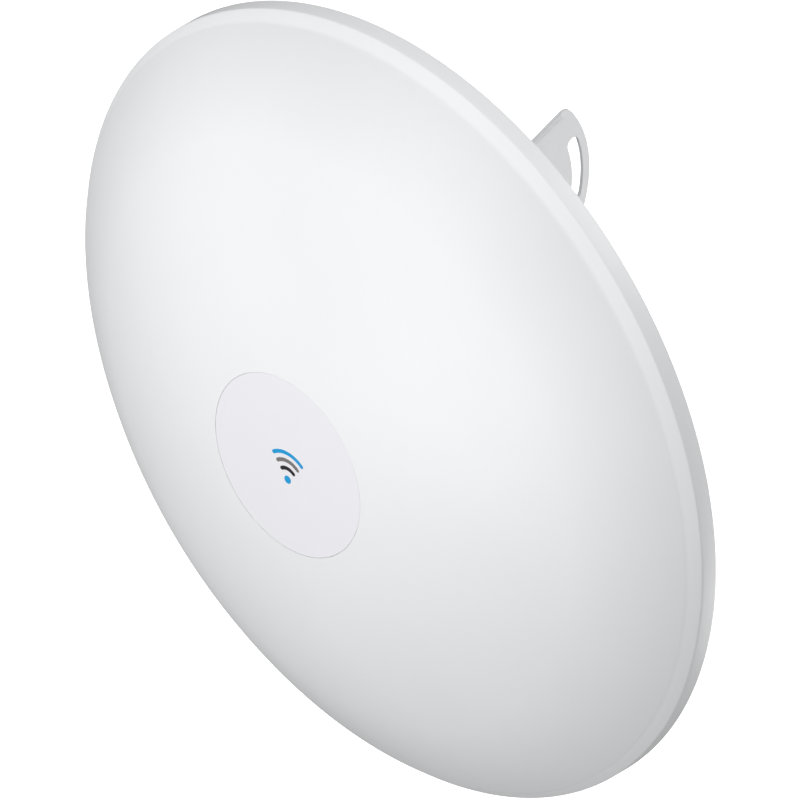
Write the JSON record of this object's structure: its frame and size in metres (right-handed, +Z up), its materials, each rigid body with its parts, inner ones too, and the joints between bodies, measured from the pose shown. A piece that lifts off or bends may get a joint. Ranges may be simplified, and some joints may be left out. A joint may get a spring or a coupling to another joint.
{
  "type": "outdoor wireless bridge",
  "caption": "Radome-covered dish antenna with a radio hub behind it, on a slotted tilt bracket with a pole clamp.",
  "frame": {"origin": "on the pole's axis, at the middle of the clamp's height", "axes": "+Z up along the pole, the antenna looks along -Y, +X to the right seen from the front"},
  "size_m": [0.52, 0.3199, 0.52],
  "materials": {
    "radome_white": "satin UV-stable moulding",
    "cap_white": null,
    "housing_white": "fine-grained moulding",
    "seal_rubber": "matte",
    "reflector_metal": "white powder coat on spun aluminium sheet",
    "bracket_paint": "light grey-white powder coat on steel",
    "spring_steel": "bright",
    "zinc": "zinc plated",
    "aluminium": "machined",
    "dielectric": "natural PTFE",
    "foam": "closed-cell foam",
    "thermal": "soft gap filler",
    "board_green": "solder mask",
    "shield_tin": "tinned",
    "switch_black": "matte",
    "light_clear": "clear acrylic",
    "membrane": "expanded PTFE film",
    "button_grey": "satin"
  },
  "bodies": {
    "pole_bracket": {"pole_bracket": "bracket_paint", "pivot_bolt": "zinc", "pivot_nut": "zinc", "pivot_bush": "zinc", "lock_bolt": "zinc", "lock_nut": "zinc", "lock_bush": "zinc", "tilt_washers": "zinc", "carriage_bolts": "zinc"},
    "dish_head": {"radome_shell": "radome_white", "centre_cap": "cap_white", "rim_gasket": "seal_rubber", "retaining_ring": "spring_steel", "reflector_dish": "reflector_metal", "hub_gasket": "seal_rubber", "hub_housing": "housing_white", "port_bay": "housing_white", "hub_screws": "zinc", "ground_screw": "zinc", "feed_flange": "aluminium", "feed_tube": "aluminium", "feed_cone": "dielectric", "sub_reflector": "aluminium", "nose_pad": "foam", "waveguide_launcher": "aluminium", "radio_board": "board_green", "board_screws": "zinc", "rf_shield": "shield_tin", "thermal_pad": "thermal", "heat_spreader": "aluminium", "rj45_jack": "shield_tin", "reset_switch": "switch_black", "led_light_pipes": "light_clear", "vent_membrane": "membrane", "elevation_plate": "bracket_paint", "bracket_bolts": "zinc", "bracket_washers": "zinc", "door_hinge_pin": "spring_steel"},
    "port_door": {"port_door": "housing_white", "cable_grommet": "seal_rubber"},
    "reset_button": {"reset_button": "button_grey"},
    "clamp_jaw": {"pole_clamp": "bracket_paint", "clamp_washers": "zinc", "clamp_nuts": "zinc"}
  },
  "joints": [
    {"name": "elevation_tilt", "type": "hinge", "parent": "pole_bracket", "child": "dish_head", "pos_m": [0.05115, -0.0115, 0.0342], "axis": [1, 0, 0], "range_deg": [-15, 15]},
    {"name": "clamp_slide", "type": "slide", "parent": "pole_bracket", "child": "clamp_jaw", "axis": [-1, 0, 0], "range_m": [-0.008, 0.022]},
    {"name": "port_door_hinge", "type": "hinge", "parent": "dish_head", "child": "port_door", "pos_m": [0.1123, -0.037, -0.077], "axis": [1, 0, 0], "range_deg": [0, 110]},
    {"name": "reset_press", "type": "slide", "parent": "dish_head", "child": "reset_button", "axis": [-1, 0, 0], "range_m": [0, 0.0008], "stiffness_N_per_m": 500, "springref_m": -0.001}
  ]
}
